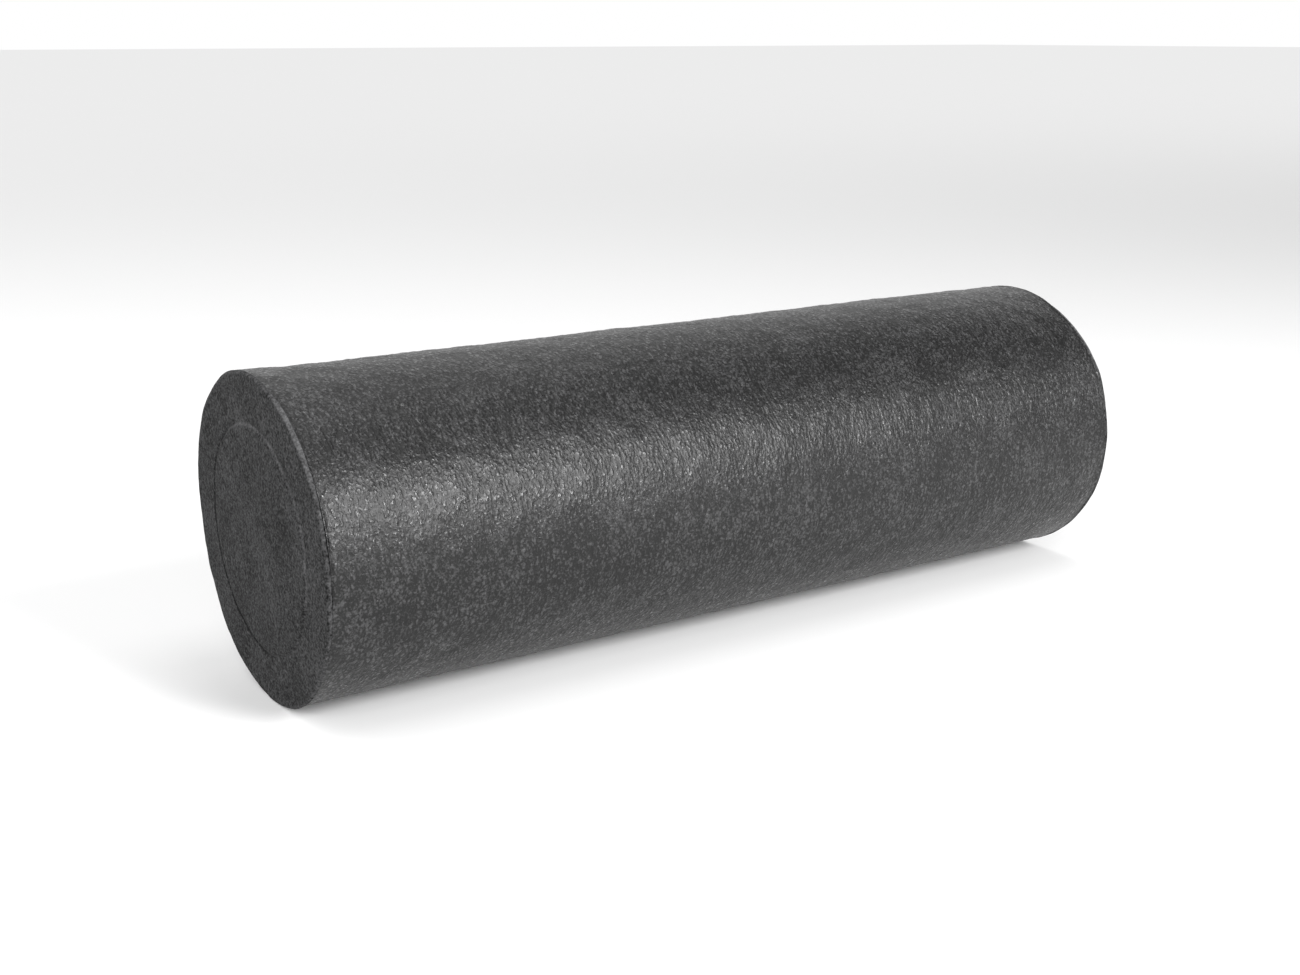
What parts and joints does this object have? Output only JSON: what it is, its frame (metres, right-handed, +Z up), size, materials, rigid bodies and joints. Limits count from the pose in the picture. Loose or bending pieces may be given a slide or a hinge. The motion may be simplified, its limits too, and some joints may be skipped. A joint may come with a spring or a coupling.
{
  "type": "foam roller",
  "caption": "Smooth cylindrical foam roller with a firm foam core, a thick foam sleeve and a heat-sealed skin, lying on its side.",
  "frame": {"origin": "middle of the line on the floor that the roller rests on, lying on its side", "axes": "+X along the roller's axis, towards its right end; +Z up"},
  "size_m": [0.45, 0.145, 0.145],
  "materials": {
    "core_foam": "matte closed-cell foam",
    "sleeve_foam": "matte closed-cell foam",
    "barrel_skin": "pebbled, low sheen",
    "end_skin": "fine-grained, matte"
  },
  "bodies": {
    "root": {"core_rod": "core_foam", "foam_sleeve": "sleeve_foam", "barrel_skin": "barrel_skin", "end_skin_left": "end_skin", "end_skin_right": "end_skin"}
  },
  "joints": []
}
